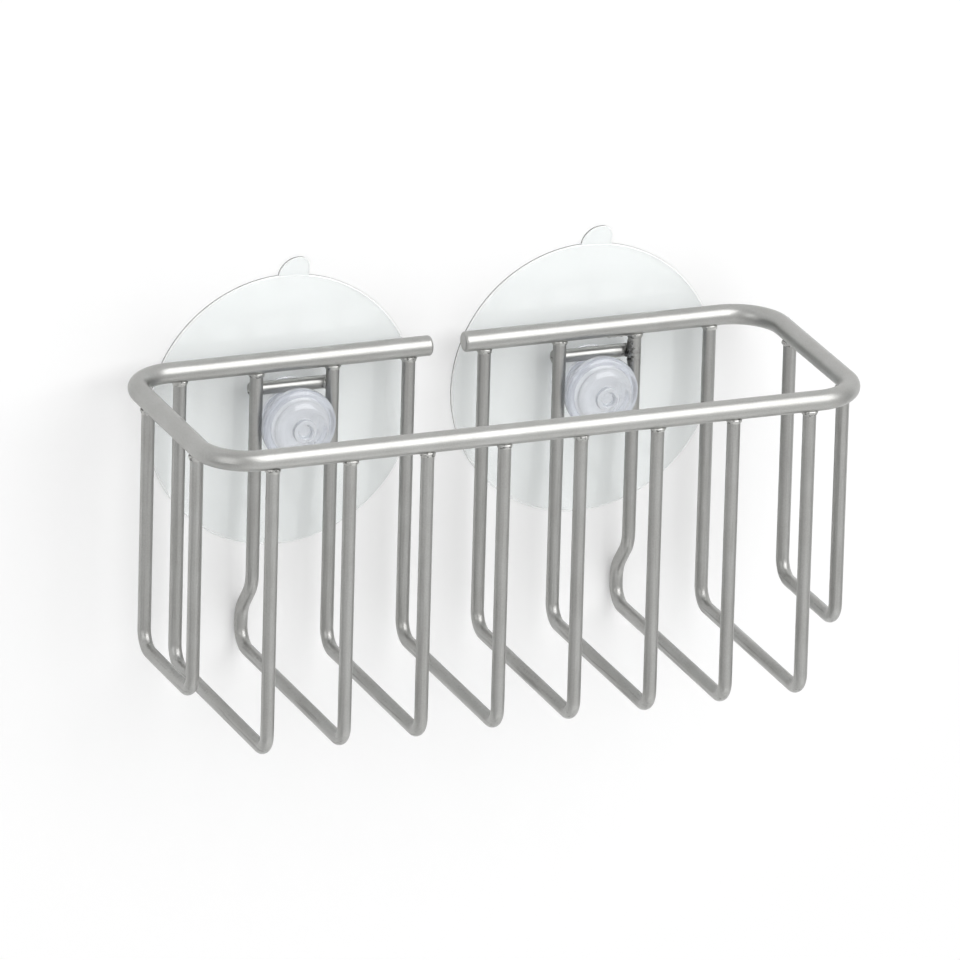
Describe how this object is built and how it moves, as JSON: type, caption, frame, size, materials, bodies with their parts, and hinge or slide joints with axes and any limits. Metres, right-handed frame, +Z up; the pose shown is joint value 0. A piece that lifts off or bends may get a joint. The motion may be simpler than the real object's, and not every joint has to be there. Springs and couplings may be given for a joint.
{
  "type": "sponge holder",
  "caption": "Open wire basket that holds a kitchen sponge on a sink wall, hung by short bars from clear suction cups with pull tabs.",
  "frame": {"origin": "under the middle of the overall box, on the surface that the basket wires stand on", "axes": "+X along the basket, +Y towards the wall that the cups stick to, +Z up"},
  "size_m": [0.1464, 0.0646, 0.0849],
  "materials": {
    "satin_steel": "satin nickel plate on drawn steel wire",
    "weld_metal": "plated weld beads, brighter than the wire",
    "clear_vinyl": "clear soft vinyl, glossy, faintly blue"
  },
  "bodies": {
    "basket": {"rim": "satin_steel", "basket_wire_1": "satin_steel", "basket_wire_2": "satin_steel", "basket_wire_3": "satin_steel", "basket_wire_4": "satin_steel", "basket_wire_5": "satin_steel", "basket_wire_6": "satin_steel", "left_standoff_wire": "satin_steel", "right_standoff_wire": "satin_steel", "left_end_wire": "satin_steel", "right_end_wire": "satin_steel", "left_hanger_bar": "satin_steel", "right_hanger_bar": "satin_steel", "rim_welds": "weld_metal", "hanger_bar_welds": "weld_metal"},
    "left_stem": {"left_cup_stem": "clear_vinyl"},
    "left_disc": {"left_cup_disc": "clear_vinyl"},
    "right_stem": {"right_cup_stem": "clear_vinyl"},
    "right_disc": {"right_cup_disc": "clear_vinyl"}
  },
  "joints": [
    {"name": "left_cup_slide", "type": "slide", "parent": "basket", "child": "left_stem", "axis": [0, 0, 1], "range_m": [-0.0085, 0]},
    {"name": "left_cup_turn", "type": "hinge", "parent": "left_stem", "child": "left_disc", "pos_m": [-0.0336, 0.03232, 0.05172], "axis": [0, 1, 0], "continuous": true},
    {"name": "right_cup_slide", "type": "slide", "parent": "basket", "child": "right_stem", "axis": [0, 0, 1], "range_m": [-0.0085, 0]},
    {"name": "right_cup_turn", "type": "hinge", "parent": "right_stem", "child": "right_disc", "pos_m": [0.0336, 0.03232, 0.05172], "axis": [0, 1, 0], "continuous": true}
  ]
}
